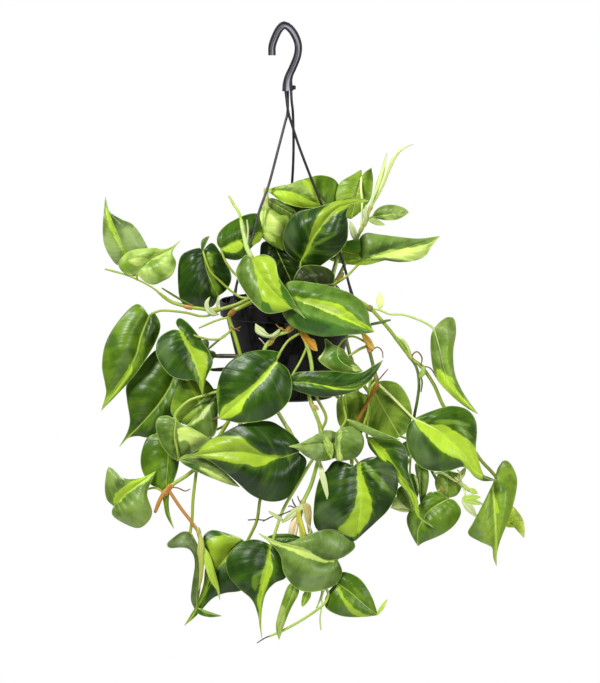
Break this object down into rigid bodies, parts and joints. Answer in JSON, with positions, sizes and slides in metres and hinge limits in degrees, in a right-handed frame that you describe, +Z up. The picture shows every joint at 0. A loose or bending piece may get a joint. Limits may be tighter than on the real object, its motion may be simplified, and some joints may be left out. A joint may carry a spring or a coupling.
{
  "type": "potted brasil philodendron",
  "caption": "Trailing heart-leaved philodendron with lime-splashed green leaves, in a black hanging pot on thin rods below a moulded hook.",
  "frame": {"origin": "top of the hook's inside, where it hangs", "axes": "+Z up along the pot's axis, -Y towards the side that the picture shows, +X to its right"},
  "size_m": [0.4518, 0.2249, 0.6573],
  "materials": {
    "pot_plastic": "glossy moulded black, faint flow marks",
    "hanger_plastic": "satin moulded charcoal",
    "potting_mix": "crumbly bark and peat, moist",
    "foliage": "waxy green leaf with lime variegation, satin gloss"
  },
  "bodies": {
    "root": {"pot": "pot_plastic", "soil": "potting_mix", "hook": "hanger_plastic", "hanger_rod_left": "hanger_plastic", "hanger_rod_right": "hanger_plastic", "hanger_rod_back": "hanger_plastic", "stem_left": "foliage", "stem_left_front": "foliage", "stem_centre_left": "foliage", "stem_centre": "foliage", "stem_top_left": "foliage", "stem_top_centre": "foliage", "stem_top_right": "foliage", "stem_right": "foliage", "stem_centre_right": "foliage", "stem_back_left": "foliage", "stem_back_centre": "foliage", "stem_back_right": "foliage"}
  },
  "joints": []
}
